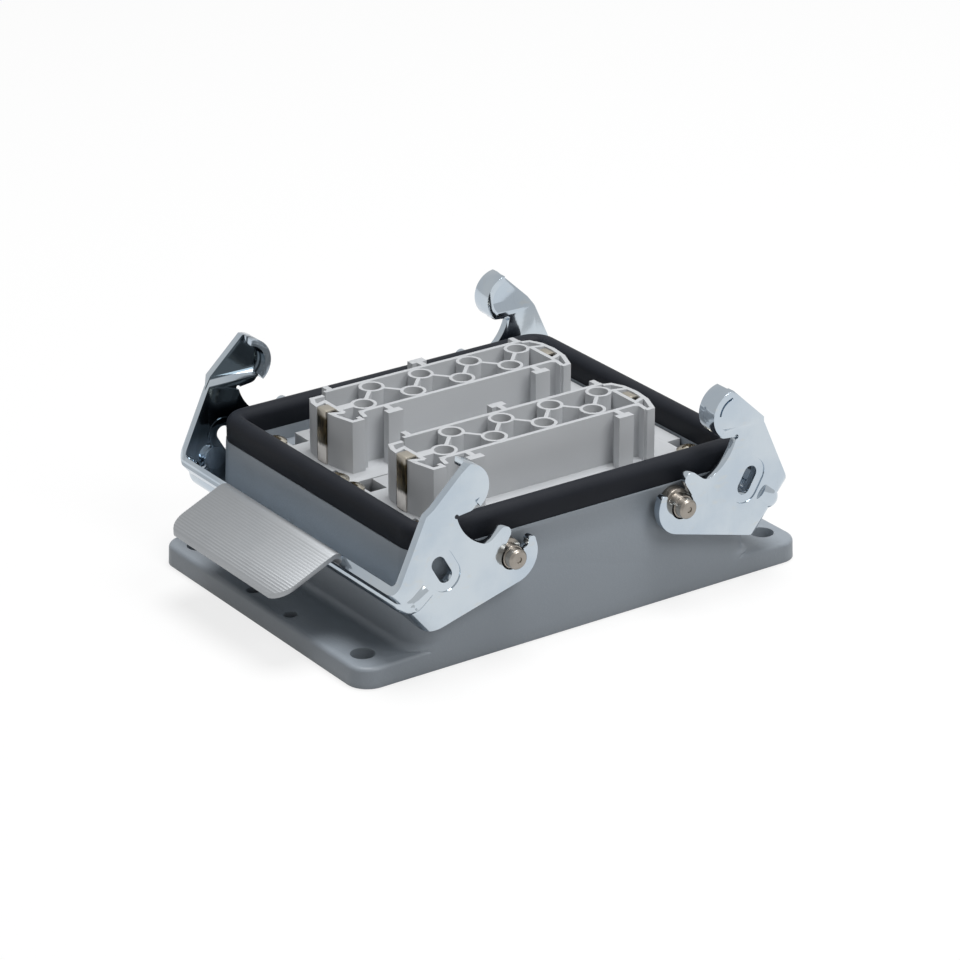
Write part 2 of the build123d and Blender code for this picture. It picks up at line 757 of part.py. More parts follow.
# One contact insert about its own centre: flange, nose with open cells, and terminal block below
with BuildPart() as insert_blank:
    # Flange that rests on the ledge, with its corner cut-outs
    with BuildSketch(Plane.XY.offset(ledge_top)):
        RectangleRounded(flange_length, flange_width, flange_corner_radius)
        with Locations((-flange_length / 2, flange_width / 2)):
            Rectangle(notch_length, notch_depth, align=(Align.MIN, Align.MAX), mode=Mode.SUBTRACT)
        with Locations((-flange_length / 2, slit_y)):
            Rectangle(slit_length, slit_width, align=(Align.MIN, Align.CENTER), mode=Mode.SUBTRACT)
        with Locations((flange_length / 2, scoop_y)):
            Rectangle(scoop_length, scoop_width, align=(Align.MAX, Align.CENTER), mode=Mode.SUBTRACT)
        with Locations((-screw_spacing_x / 2, screw_spacing_y / 2)):
            Circle(lug_radius)
            Rectangle(2 * lug_radius, notch_depth - lug_radius, align=(Align.CENTER, Align.MAX))
    extrude(amount=flange_height)

    # Solid root of the nose, up to the floor of its cells
    with BuildSketch(Plane.XY.offset(flange_top)):
        Rectangle(2 * nose_half_length, 2 * nose_half_width)
        with BuildLine():
            Polyline(*at_end(-1, left_cap_upper[:4] + left_cap_lower[2:]), close=True)
        make_face()
        with BuildLine():
            Polyline(*at_end(1, right_cap_outer), close=True)
        make_face()
    extrude(amount=cell_floor - flange_top)

    # Walls, tubes and ribs that stand open above it
    with BuildSketch(Plane.XY.offset(flange_top)):
        with GridLocations(0, 2 * wall_middle, 1, 2):
            Rectangle(2 * nose_half_length, nose_wall)
        with Locations(*contact_places):
            Circle(tube_radius)
        with BuildLine():
            Polyline(*zigzag_places)
        trace(line_width=zigzag_rib)
        for rib_x in (front_rib_inset - nose_half_length, nose_half_length - front_rib_inset):
            with Locations((rib_x, -nose_half_width)):
                Rectangle(rib_stem, rib_stem_length, align=(Align.CENTER, Align.MAX))
            with Locations((rib_x, -nose_half_width - rib_stem_length)):
                Rectangle(rib_head_length, rib_head_depth, align=(Align.CENTER, Align.MAX))
        with Locations((back_rib_place, nose_half_width)):
            Rectangle(rib_stem, rib_stem_length, align=(Align.CENTER, Align.MIN))
        with Locations((back_rib_place, nose_half_width + rib_stem_length)):
            Rectangle(rib_head_length, rib_head_depth, align=(Align.CENTER, Align.MIN))
        for rib_x in (left_end_rib_inset - nose_half_length, nose_half_length - right_end_rib_inset):
            with Locations((rib_x, nose_half_width - nose_wall / 2)):
                Rectangle(rib_stem, end_rib_reach - nose_half_width, align=(Align.CENTER, Align.MIN))
        with Locations(*at_end(-1, [left_cap_tie])):
            Rectangle(*left_cap_tie_size)
        for side, wall_line in ((-1, left_cap_upper), (-1, left_cap_lower), (1, right_cap_outer)):
            with BuildLine():
                Polyline(*at_end(side, wall_line))
            trace(line_width=cap_wall)
        for side, wall_line in ((-1, left_wall_turn), (1, right_wall_turn), (1, right_cap_pocket)):
            with BuildLine():
                Polyline(*at_end(side, wall_line))
            trace(line_width=nose_wall)
    extrude(amount=nose_top - flange_top)

    # Terminal block that hangs through the ledge's opening
    with BuildSketch(Plane.XY.offset(ledge_top)):
        RectangleRounded(rear_length, rear_width, rear_corner_radius)
    extrude(amount=-(ledge_top - rear_bottom))

    # Contact bores with a wire entry below, and sunk terminal screw holes on both long sides
    with BuildSketch(Plane.XY.offset(nose_top)):
        with Locations(*contact_places):
            Circle(bore_radius)
    extrude(amount=-(nose_top - contact_bottom), mode=Mode.SUBTRACT)
    with BuildSketch(Plane.XY.offset(rear_bottom)):
        with Locations(*contact_places):
            Circle(wire_entry_radius)
    extrude(amount=contact_bottom - rear_bottom, mode=Mode.SUBTRACT)
    for row, side in ((front_row, -1), (back_row, 1)):
        block_side = Plane(
            origin=(0, side * rear_width / 2, terminal_z), x_dir=(1, 0, 0), z_dir=(0, side, 0)
        )
        with BuildSketch(block_side):
            with Locations(*[(x, 0) for x, y in row]):
                Circle(terminal_screw_radius + screw_hole_clearance)
        extrude(amount=-(terminal_screw_length + terminal_screw_sink), mode=Mode.SUBTRACT)

    # Holes for the fixing screws
    with BuildSketch(Plane.XY.offset(flange_top)):
        with GridLocations(screw_spacing_x, screw_spacing_y, 2, 2):
            Circle(screw_hole_radius)
    extrude(amount=-flange_height, mode=Mode.SUBTRACT)

# One contact socket about its own axis
with BuildPart() as contact_blank:
    with BuildSketch(Plane.XY.offset(contact_bottom)):
        Circle(contact_radius)
    extrude(amount=contact_top - contact_bottom)
    with BuildSketch(Plane.XY.offset(contact_top)):
        Circle(contact_bore_radius)
    extrude(amount=-contact_bore_depth, mode=Mode.SUBTRACT)

# One fixing screw about its own axis, with a pan head and a cross recess
with BuildPart() as screw_blank:
    with BuildSketch(Plane.XY.offset(flange_top)):
        Circle(screw_head_radius)
    extrude(amount=screw_head_height)
    chamfer(screw_blank.faces().sort_by(Axis.Z)[-1].edges(), screw_head_chamfer)
    with BuildSketch(Plane.XY.offset(flange_top)):
        Circle(screw_shank_radius)
    extrude(amount=-screw_length)
    with BuildSketch(Plane.XY.offset(flange_top + screw_head_height)):
        Rectangle(cross_length, cross_width)
        Rectangle(cross_width, cross_length)
    extrude(amount=-cross_depth, mode=Mode.SUBTRACT)

# One terminal screw, lying along Y with its slotted head outwards
with BuildPart() as terminal_blank:
    with BuildSketch(Plane.XZ):
        Circle(terminal_screw_radius)
    extrude(amount=-terminal_screw_length)
    with BuildSketch(Plane.XZ):
        Rectangle(2 * terminal_screw_radius, terminal_slot)
    extrude(amount=-terminal_slot, mode=Mode.SUBTRACT)

# Pieces of each insert, set at its place in the housing
for row_name, row_y in insert_places.items():
    with BuildPart() as insert_body:
        with Locations((0, row_y, 0)):
            add(insert_blank.part)
    insert_body.part.label = f"{row_name}_insert"
    export_step(insert_body.part, f"parts/{row_name}_insert.step")

    for number, (x, y) in enumerate(contact_places, start=1):
        with BuildPart() as contact:
            with Locations((x, row_y + y, 0)):
                add(contact_blank.part)
        contact.part.label = f"{row_name}_contact_{number}"
        export_step(contact.part, f"parts/{row_name}_contact_{number}.step")

    with BuildPart() as fixing_screws:
        with Locations((0, row_y, 0)):
            with GridLocations(screw_spacing_x, screw_spacing_y, 2, 2):
                add(screw_blank.part)
    fixing_screws.part.label = f"{row_name}_fixing_screws"
    export_step(fixing_screws.part, f"parts/{row_name}_fixing_screws.step")

    with BuildPart() as terminal_screws:
        with Locations(*[(x, row_y - screw_depth, terminal_z) for x, y in front_row]):
            add(terminal_blank.part)
        with Locations(*[(x, row_y + screw_depth, terminal_z) for x, y in back_row]):
            add(terminal_blank.part.rotate(Axis.Z, 180))
    terminal_screws.part.label = f"{row_name}_terminal_screws"
    export_step(terminal_screws.part, f"parts/{row_name}_terminal_screws.step")

    # Earth strips: sheet folded over the wall of each end chamber
    strips = {
        "left": (-1, left_strip_line, left_strip_y),
        "right": (1, right_strip_line, right_strip_y),
    }
    for end_name, (side, strip_line, strip_y) in strips.items():
        with BuildPart() as earth_strip:
            with BuildSketch(Plane.XZ.offset(-(row_y + strip_y))):
                with BuildLine():
                    strip_points = [(x, nose_top + z) for x, z in at_end(side, strip_line)]
                    FilletPolyline(*strip_points, radius=strip_fold_radius)
                trace(line_width=strip_thickness)
            extrude(amount=strip_width / 2, both=True)
        earth_strip.part.label = f"{row_name}_earth_strip_{end_name}"
        export_step(earth_strip.part, f"parts/{row_name}_earth_strip_{end_name}.step")
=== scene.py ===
import json
import math

import bmesh
import bpy
from mathutils import Matrix, Vector


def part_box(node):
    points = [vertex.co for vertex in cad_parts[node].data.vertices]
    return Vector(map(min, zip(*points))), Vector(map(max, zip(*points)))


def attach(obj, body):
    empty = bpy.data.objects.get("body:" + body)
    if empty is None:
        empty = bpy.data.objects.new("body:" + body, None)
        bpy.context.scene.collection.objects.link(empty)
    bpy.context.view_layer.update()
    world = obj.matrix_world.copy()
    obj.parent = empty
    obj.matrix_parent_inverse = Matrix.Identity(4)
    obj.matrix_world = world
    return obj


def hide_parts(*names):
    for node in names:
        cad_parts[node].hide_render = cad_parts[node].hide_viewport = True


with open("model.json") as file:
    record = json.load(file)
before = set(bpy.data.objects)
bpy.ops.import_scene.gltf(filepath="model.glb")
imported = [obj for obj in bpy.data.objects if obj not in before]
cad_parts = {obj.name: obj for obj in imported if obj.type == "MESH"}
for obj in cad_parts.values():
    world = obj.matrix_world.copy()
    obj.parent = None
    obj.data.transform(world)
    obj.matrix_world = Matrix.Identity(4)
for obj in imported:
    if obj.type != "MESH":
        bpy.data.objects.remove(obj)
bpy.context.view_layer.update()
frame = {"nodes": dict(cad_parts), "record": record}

# Dresses the heavy duty rectangular connector around its fixed frame. Everything is in metres.
MM = 0.001


# Node trees

class Wire:
    """A socket that takes part in arithmetic. Each operation adds one Math node."""

    def __init__(self, graph, socket):
        self.graph = graph
        self.socket = socket

    def join(self, operation, *values):
        return self.graph.node("ShaderNodeMath", {"operation": operation}, dict(enumerate(values)))

    def __add__(self, other):
        return self.join("ADD", self, other)

    def __sub__(self, other):
        return self.join("SUBTRACT", self, other)

    def __rsub__(self, other):
        return self.join("SUBTRACT", other, self)

    def __mul__(self, other):
        return self.join("MULTIPLY", self, other)

    __radd__ = __add__
    __rmul__ = __mul__

    def step(self, low, high):
        """0 below low, 1 above high, and a smooth rise between."""
        return self.graph.node(
            "ShaderNodeMapRange",
            {"interpolation_type": "SMOOTHSTEP"},
            {"Value": self, "From Min": low, "From Max": high},
        )


class Graph:
    """A node tree, with one method that adds any node."""

    def __init__(self, tree):
        self.tree = tree

    def node(self, kind, settings, values, out=0):
        made = self.tree.nodes.new(kind)
        for key, value in settings.items():
            setattr(made, key, value)
        for key, value in values.items():
            named = [s for s in made.inputs if s.identifier == key or s.name == key]
            socket = made.inputs[key] if isinstance(key, int) else named[0]
            for wire in value if isinstance(value, list) else [value]:
                if isinstance(wire, Wire):
                    self.tree.links.new(wire.socket, socket)
                elif isinstance(wire, tuple) and socket.type == "RGBA":
                    socket.default_value = (*wire, 1)
                else:
                    socket.default_value = wire
        return Wire(self, made.outputs[out]) if len(made.outputs) else None

    def parts(self, wire, names):
        """Other outputs of a wire's node."""
        outputs = wire.socket.node.outputs
        return [Wire(self, outputs[name]) for name in names]

    def background_rays(self, mirrored=1.0):
        """1 for rays that show the background, 0 for rays that light the object.

        Reflections get the share that is given as mirrored."""
        path = self.node("ShaderNodeLightPath", {}, {})
        camera, glossy, through = self.parts(
            path, ("Is Camera Ray", "Is Glossy Ray", "Is Transmission Ray")
        )
        return camera + glossy * mirrored + through


SHADER_SOCKETS = {
    "base_color": "Base Color",
    "roughness": "Roughness",
    "metallic": "Metallic",
    "normal": "Normal",
    "specular": "Specular IOR Level",
    "coat": "Coat Weight",
    "coat_roughness": "Coat Roughness",
}


class Paint(Graph):
    """One material with a Principled BSDF."""

    def __init__(self, name, **fixed):
        self.material = bpy.data.materials.new(name)
        self.material.use_nodes = True
        super().__init__(self.material.node_tree)
        self.shader = self.tree.nodes["Principled BSDF"]
        for key, value in fixed.items():
            self.shader.inputs[SHADER_SOCKETS[key]].default_value = value
        self.place = self.node("ShaderNodeTexCoord", {}, {}, out="Object")
        split = self.node("ShaderNodeSeparateXYZ", {}, {"Vector": self.place})
        self.x, self.y, self.z = self.parts(split, "XYZ")

    def noise(self, size, detail=2.0, roughness=0.5, place=None):
        """Noise whose lumps measure about size metres."""
        values = {"Vector": place or self.place, "Scale": 1 / size}
        values.update({"Detail": detail, "Roughness": roughness})
        return self.node("ShaderNodeTexNoise", {}, values)

    def stretched(self, x=1.0, y=1.0, z=1.0, turn=(0, 0, 0)):
        """Object coordinates scaled along each axis."""
        values = {"Vector": self.place, "Scale": (x, y, z), "Rotation": turn}
        return self.node("ShaderNodeMapping", {}, values)

    def blend(self, factor, low, high):
        """Colour from low at factor 0 to high at factor 1."""
        values = {"Factor_Float": factor, "A_Color": low, "B_Color": high}
        return self.node("ShaderNodeMix", {"data_type": "RGBA"}, values, out=2)

    def openness(self, distance):
        """1 on open surfaces and towards 0 in deep recesses narrower than the distance."""
        return self.node("ShaderNodeAmbientOcclusion", {"samples": 8}, {"Distance": distance}, out="AO")

    def bump(self, height, depth):
        return self.node("ShaderNodeBump", {}, {"Height": height, "Distance": depth}, out="Normal")

    def set(self, **wires):
        for key, wire in wires.items():
            self.tree.links.new(wire.socket, self.shader.inputs[SHADER_SOCKETS[key]])
        return self.material


class Pattern(Graph):
    """A Geometry Nodes tree with named inputs, for pieces that repeat at a list of places."""

    def __init__(self, name, **sizes):
        super().__init__(bpy.data.node_groups.new(name, "GeometryNodeTree"))
        self.sizes = sizes
        self.keys = {}
        sockets = self.tree.interface
        sockets.new_socket("Places", in_out="INPUT", socket_type="NodeSocketGeometry")
        for label, value in sizes.items():
            kind = "NodeSocketInt" if isinstance(value, int) else "NodeSocketFloat"
            self.keys[label] = sockets.new_socket(label, in_out="INPUT", socket_type=kind).identifier
        sockets.new_socket("Geometry", in_out="OUTPUT", socket_type="NodeSocketGeometry")
        self.places = self.node("NodeGroupInput", {}, {}, out="Places")
        self.input = dict(zip(sizes, self.parts(self.places, sizes)))

    def raised(self, geometry, height):
        """The geometry moved along Z."""
        lift = self.node("ShaderNodeCombineXYZ", {}, {"Z": height})
        return self.node("GeometryNodeTransform", {}, {"Geometry": geometry, "Translation": lift})

    def rod(self, radius, low, high, sides=40):
        """A solid round bar along Z between two heights."""
        bar = self.node(
            "GeometryNodeMeshCylinder", {}, {"Vertices": sides, "Radius": radius, "Depth": high - low}
        )
        return self.raised(bar, (high + low) * 0.5)

    def cross(self, length, width, depth):
        """Two crossed bars, as cutters for a slit or a recess whose mouth is at height 0."""
        bars = []
        for sizes in ((length, width), (width, length)):
            size = self.node(
                "ShaderNodeCombineXYZ", {}, {"X": sizes[0], "Y": sizes[1], "Z": depth * 2.0}
            )
            bars.append(self.node("GeometryNodeMeshCube", {}, {"Size": size}))
        return bars

    def cut(self, body, cutters, operation="DIFFERENCE"):
        if operation == "DIFFERENCE":
            values = {"Mesh 1": body, "Mesh 2": cutters}
        else:
            values = {"Mesh 2": [body, *cutters]}
        return self.node("GeometryNodeMeshBoolean", {"operation": operation, "solver": "EXACT"}, values)

    def mesh_at(self, places, piece, material, turn=None):
        """The piece at every place, as one plain mesh with its material."""
        values = {"Points": self.places, "Instance": piece}
        if turn:
            values["Rotation"] = self.node(
                "FunctionNodeAxisAngleToRotation", {}, {"Axis": (0, 0, 1), "Angle": turn}
            )
        copies = self.node("GeometryNodeInstanceOnPoints", {}, values)
        real = self.node("GeometryNodeRealizeInstances", {}, {"Geometry": copies})
        final = self.node("GeometryNodeSetMaterial", {}, {"Geometry": real, "Material": material})
        self.node("NodeGroupOutput", {}, {"Geometry": final})

        points = bpy.data.meshes.new("places")
        points.from_pydata(places, [], [])
        draft = bpy.data.objects.new("draft", points)
        bpy.context.scene.collection.objects.link(draft)
        modifier = draft.modifiers.new("pattern", "NODES")
        modifier.node_group = self.tree
        for label, value in self.sizes.items():
            modifier[self.keys[label]] = value
        graph = bpy.context.evaluated_depsgraph_get()
        finished = bpy.data.meshes.new_from_object(draft.evaluated_get(graph))
        bpy.data.objects.remove(draft)
        return finished


# Finishes

def powder_coat():
    """Satin grey powder coat on the casting, with fine orange peel, and painted shade that darkens its
    deep recesses and holes.
    """
    paint = Paint("housing_powder_coat", coat=0.08, coat_roughness=0.3)
    cloud = paint.noise(18 * MM, 3)
    grain = paint.noise(0.22 * MM, 2)
    peel = paint.noise(0.9 * MM, 3, 0.6)
    tone = paint.blend(cloud, (0.232, 0.262, 0.296), (0.262, 0.294, 0.328))
    speckled = paint.blend(grain.step(0.55, 0.75) * 0.3, tone, (0.33, 0.36, 0.39))
    # Painted shade: the colour goes dark in recesses and holes narrower than 3.5 mm, where shade falls.
    painted_recess_shade = (0.035, 0.042, 0.05)
    return paint.set(
        base_color=paint.blend(paint.openness(3.5 * MM).step(0.12, 0.62), painted_recess_shade, speckled),
        roughness=0.40 + peel * 0.16,
        normal=paint.bump(peel + grain * 0.3, 0.05 * MM),
    )


def moulded_rubber():
    """Black rubber with a dull bloom."""
    paint = Paint("gasket_rubber", specular=0.12)
    bloom = paint.noise(9 * MM, 4, 0.6)
    grain = paint.noise(0.35 * MM, 3, 0.6)
    colour = paint.blend(bloom, (0.0075, 0.0095, 0.0135), (0.020, 0.022, 0.028))
    return paint.set(
        base_color=colour,
        roughness=0.42 + bloom * 0.2 + grain * 0.06,
        normal=paint.bump(grain, 0.03 * MM),
    )


def zinc_plate():
    """Blue passivated zinc on rolled sheet, cloudy and faintly scratched.

    The hand tab is satin, and the inside of the tab lever's back arm and ear is painted darker, as a
    painted dark reflection."""
    paint = Paint("zinc_plated_sheet", metallic=1.0)
    outward = -1 * paint.x
    inward = -1 * paint.y
    cloud = paint.noise(14 * MM, 3, 0.55)
    drift = paint.noise(5 * MM, 4, 0.6, paint.stretched(1.0, 1.0, 2.5))
    rolled = paint.noise(0.5 * MM, 3, 0.6, paint.stretched(0.06, 0.06, 1.0, (0, 0.3, 0)))
    scratch = paint.noise(0.35 * MM, 2, 0.5, paint.stretched(1.0, 0.08, 0.1, (0.4, 0.6, 0.2)))
    tab_width = (inward * paint.y).step(-(24.5 * MM) ** 2, -(24.3 * MM) ** 2)
    tab = outward.step(55.2 * MM, 55.8 * MM) * tab_width
    # Painted dark reflection: the inner faces of the back arm and its ear are painted dark to stand for
    # the dark surroundings they mirror.
    arm_inside = paint.y.step(44 * MM, 44.5 * MM) * inward.step(-45.1 * MM, -45.03 * MM)
    ear_inside = paint.y.step(45.85 * MM, 46.0 * MM) * inward.step(-46.4 * MM, -46.33 * MM)
    rising = outward.step(30 * MM, 31 * MM) * paint.z.step(22 * MM, 30 * MM)
    painted_dark_reflection = (arm_inside + ear_inside * paint.z.step(39 * MM, 40 * MM)) * rising
    painted_reflection_colour = (0.085, 0.11, 0.13)
    tint = paint.blend(cloud.step(0.3, 0.7), (0.48, 0.55, 0.62), (0.56, 0.62, 0.67))
    warm = paint.blend(drift.step(0.58, 0.72) * 0.3, tint, (0.58, 0.57, 0.52))
    sheet = paint.blend(scratch.step(0.66, 0.74) * 0.2, warm, (0.40, 0.44, 0.48))
    satin = paint.blend(cloud, (0.345, 0.36, 0.378), (0.385, 0.40, 0.412))
    return paint.set(
        base_color=paint.blend(painted_dark_reflection, paint.blend(tab, sheet, satin), painted_reflection_colour),
        roughness=0.06 + drift * 0.06 + rolled * 0.05 + tab * 0.4,
        normal=paint.bump(rolled + scratch.step(0.6, 0.8) * 0.5, 0.006 * MM),
    )


def turned_steel():
    """Warm turned stainless steel with tool marks round the pin."""
    paint = Paint("turned_pin_steel", metallic=1.0)
    marks = paint.noise(0.12 * MM, 2, 0.5, paint.stretched(0.05, 1.0, 0.05))
    cloud = paint.noise(2.5 * MM, 3)
    colour = paint.blend(cloud, (0.24, 0.215, 0.19), (0.40, 0.37, 0.33))
    return paint.set(
        base_color=colour,
        roughness=0.22 + marks * 0.16,
        normal=paint.bump(marks, 0.015 * MM),
    )


def insert_plastic():
    """Light grey moulded plastic with a faint grain and flow clouds."""
    paint = Paint("insert_plastic", specular=0.35)
    cloud = paint.noise(12 * MM, 2)
    grain = paint.noise(0.3 * MM, 3, 0.6)
    colour = paint.blend(cloud, (0.435, 0.45, 0.467), (0.47, 0.485, 0.502))
    return paint.set(
        base_color=colour,
        roughness=0.44 + grain * 0.12,
        normal=paint.bump(grain, 0.02 * MM),
    )


def plated_metal(name, dark, light, rough):
    """Small plated parts: screws and sockets."""
    paint = Paint(name, metallic=1.0)
    cloud = paint.noise(1.6 * MM, 4, 0.65)
    fine = paint.noise(0.15 * MM, 2)
    return paint.set(
        base_color=paint.blend(cloud.step(0.3, 0.7), dark, light),
        roughness=rough + cloud * 0.15,
        normal=paint.bump(fine, 0.006 * MM),
    )


def spring_strip():
    """Copper alloy strip coloured by depth below its top: a pale folded top, a dark band below it and a
    light lower part.
    """
    paint = Paint("spring_strip", metallic=1.0)
    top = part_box("front_earth_strip_left")[1][2]
    blotch = paint.noise(1.1 * MM, 3, 0.6, paint.stretched(1.0, 1.0, 0.35))
    depth = top - paint.z + (blotch - 0.5) * 1.6 * MM
    dark_band = paint.blend(blotch.step(0.35, 0.7), (0.045, 0.040, 0.026), (0.15, 0.115, 0.06))
    light_foot = paint.blend(blotch, (0.72, 0.68, 0.63), (0.84, 0.80, 0.75))
    folded = paint.blend(depth.step(1.0 * MM, 2.2 * MM), (0.44, 0.41, 0.35), dark_band)
    return paint.set(
        base_color=paint.blend(depth.step(8.2 * MM, 9.4 * MM), folded, light_foot),
        roughness=0.26 + blotch * 0.2,
    )


HOUSING = powder_coat()
RUBBER = moulded_rubber()
ZINC = zinc_plate()
PIN_STEEL = turned_steel()
PLASTIC = insert_plastic()
SCREW_METAL = plated_metal("plated_screw", (0.36, 0.33, 0.27), (0.66, 0.62, 0.54), 0.2)
SOCKET_METAL = plated_metal("silver_socket", (0.26, 0.25, 0.24), (0.60, 0.59, 0.57), 0.25)
STRIP_METAL = spring_strip()


# Meshes

def new_piece(name, mesh, material, body, nodes=()):
    """Puts a finished mesh in the scene on its body, standing for its nodes."""
    piece = bpy.data.objects.new(name, mesh)
    bpy.context.scene.collection.objects.link(piece)
    mesh.materials.clear()
    mesh.materials.append(material)
    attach(piece, body)
    if nodes:
        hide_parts(*nodes)
    return piece


def soften_tab(shape):
    """Lowers the grip ribs of the hand tab, and fills the groove beside the thumb rim of each ear."""
    ear_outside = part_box("left_lever")[1][1]
    droop = math.radians(24)
    tab_root = -58.6 * MM
    rib_height = 0.297 * MM
    rib_lowering = 0.8
    groove_depth = 0.9 * MM
    tolerance = 0.01 * MM

    square = Vector((-math.sin(droop), 0, math.cos(droop)))
    tab = [vertex for vertex in shape.verts if vertex.co.x < tab_root]
    face = max(vertex.co.dot(square) for vertex in tab) - rib_height
    for vertex in tab:
        height = vertex.co.dot(square) - face
        if height > tolerance:
            vertex.co -= square * height * rib_lowering

    groove_floor = ear_outside - groove_depth
    for vertex in shape.verts:
        if abs(abs(vertex.co.y) - groove_floor) < tolerance:
            vertex.co.y = math.copysign(ear_outside, vertex.co.y)
    bmesh.ops.remove_doubles(shape, verts=shape.verts, dist=tolerance / 2)


def dressed(node, material, body, edge, name, reshape=None):
    """A node's own shape with its edges eased and its curves shaded smooth."""
    mesh = frame["nodes"][node].data.copy()
    shape = bmesh.new()
    shape.from_mesh(mesh)
    if reshape:
        reshape(shape)
    bmesh.ops.remove_doubles(shape, verts=shape.verts, dist=0.002 * MM)
    bmesh.ops.dissolve_limit(
        shape, angle_limit=math.radians(0.4), verts=shape.verts, edges=shape.edges, delimit=set()
    )
    shape.to_mesh(mesh)
    shape.free()
    draft = bpy.data.objects.new("draft", mesh)
    bpy.context.scene.collection.objects.link(draft)
    ease = draft.modifiers.new("ease", "BEVEL")
    ease.width = edge
    ease.segments = 2
    ease.limit_method = "ANGLE"
    ease.angle_limit = math.radians(34)
    ease.use_clamp_overlap = True
    graph = bpy.context.evaluated_depsgraph_get()
    finished = bpy.data.meshes.new_from_object(draft.evaluated_get(graph))
    bpy.data.objects.remove(draft)
    smooth_by_angle(finished, 32)
    return new_piece(name, finished, material, body, [node])


def smooth_by_angle(mesh, degrees):
    """Smooth shading, with every edge sharper than the angle kept crisp."""
    mesh.shade_smooth()
    mesh.set_sharp_from_angle(angle=math.radians(degrees))


# Studio

def light(name, size, energy, place):
    """A round soft lamp that faces the middle of the object."""
    lamp = bpy.data.lights.new(name, "AREA")
    lamp.shape = "DISK"
    lamp.size = size
    lamp.energy = energy
    holder = bpy.data.objects.new(name, lamp)
    holder.location = place
    middle = Vector((0, 0, 0.02))
    holder.rotation_euler = (middle - Vector(place)).to_track_quat("-Z", "Y").to_euler()
    bpy.context.scene.collection.objects.link(holder)


def white_world():
    """White for the camera, a little dimmer in the metal, and a weak fill light."""
    world = bpy.data.worlds.new("studio")
    bpy.context.scene.world = world
    world.use_nodes = True
    sky = Graph(world.node_tree)
    fill = sky.node("ShaderNodeBackground", {}, {"Color": (1, 1, 1), "Strength": 0.2})
    seen = sky.node("ShaderNodeBackground", {}, {"Color": (1, 1, 1), "Strength": 1.0})
    mixed = sky.node("ShaderNodeMixShader", {}, {0: sky.background_rays(0.6), 1: fill, 2: seen})
    sky.tree.links.new(mixed.socket, sky.tree.nodes["World Output"].inputs["Surface"])


def pale_floor():
    """A plain floor that keeps the object's shadow and stays dark under the flange."""
    floor_mesh = bpy.data.meshes.new("floor")
    half = 3.0
    level = -0.3 * MM
    corners = [(-half, -half, level), (half, -half, level), (half, half, level), (-half, half, level)]
    floor_mesh.from_pydata(corners, [], [(0, 1, 2, 3)])
    floor = bpy.data.objects.new("floor", floor_mesh)
    bpy.context.scene.collection.objects.link(floor)
    paint = Paint("floor_white", roughness=0.9, specular=0.1)
    paint.set(base_color=paint.blend(paint.background_rays(), (0.5, 0.5, 0.5), (0.82, 0.82, 0.82)))
    glow = paint.node("ShaderNodeEmission", {}, {"Color": (1, 1, 1), "Strength": 1.0})
    covered_x = 60 * MM
    covered_y = 40 * MM
    beside = paint.x * paint.x * (1 / covered_x**2)
    behind = paint.y * paint.y * (1 / covered_y**2)
    clear = beside.step(0.99, 1.0) + behind.step(0.99, 1.0)
    whitened = paint.background_rays() * clear.step(0.0, 1.0) * 0.8
    surface = Wire(paint, paint.shader.outputs[0])
    mixed = paint.node("ShaderNodeMixShader", {}, {0: whitened, 1: surface, 2: glow})
    paint.tree.links.new(mixed.socket, paint.tree.nodes["Material Output"].inputs["Surface"])
    floor_mesh.materials.append(paint.material)


def lamps():
    """A weak one in front and a stronger one overhead."""
    light("key", 0.7, 6.5, (0.3, -0.95, 1.05))
    light("top", 0.7, 16.0, (0.12, 0.0, 1.3))


def camera():
    """The photograph's own viewpoint, found from the housing's parallel edges."""
    eye = Vector((-497.4, -710.1, 402.1)) * MM
    right = Vector((0.8194, -0.5732, 0.0005))
    down = Vector((-0.2306, -0.3304, -0.9152))
    forward = Vector((0.5248, 0.7498, -0.4029))
    lens = bpy.data.cameras.new("camera")
    lens.sensor_width = 36.0
    lens.lens = 149.15
    lens.clip_start = 0.05
    lens.clip_end = 20
    holder = bpy.data.objects.new("camera", lens)
    turn = Matrix((right, -down, -forward)).transposed()
    holder.matrix_world = Matrix.Translation(eye) @ turn.to_4x4()
    bpy.context.scene.collection.objects.link(holder)
    bpy.context.scene.camera = holder


white_world()
pale_floor()
lamps()
camera()
bpy.context.scene.view_settings.view_transform = "Standard"

# Pieces that keep the frame's shape
dressed("base_housing", HOUSING, "base", 0.25 * MM, "housing")
dressed("rim_gasket", RUBBER, "base", 0.2 * MM, "gasket")
dressed("left_lever", ZINC, "left_lever", 0.25 * MM, "lever_with_tab", soften_tab)
dressed("right_lever", ZINC, "right_lever", 0.25 * MM, "plain_lever")
for side in ("left_front", "left_back", "right_front", "right_back"):
    dressed(f"lever_pin_{side}", PIN_STEEL, "base", 0.12 * MM, f"pin_{side}")
for row in ("front", "back"):
    dressed(f"{row}_insert", PLASTIC, "base", 0.12 * MM, f"{row}_insert_body")
    for end in ("left", "right"):
        dressed(
            f"{row}_earth_strip_{end}", STRIP_METAL, "base", 0.08 * MM, f"{row}_strip_{end}"
        )


# Pieces that repeat

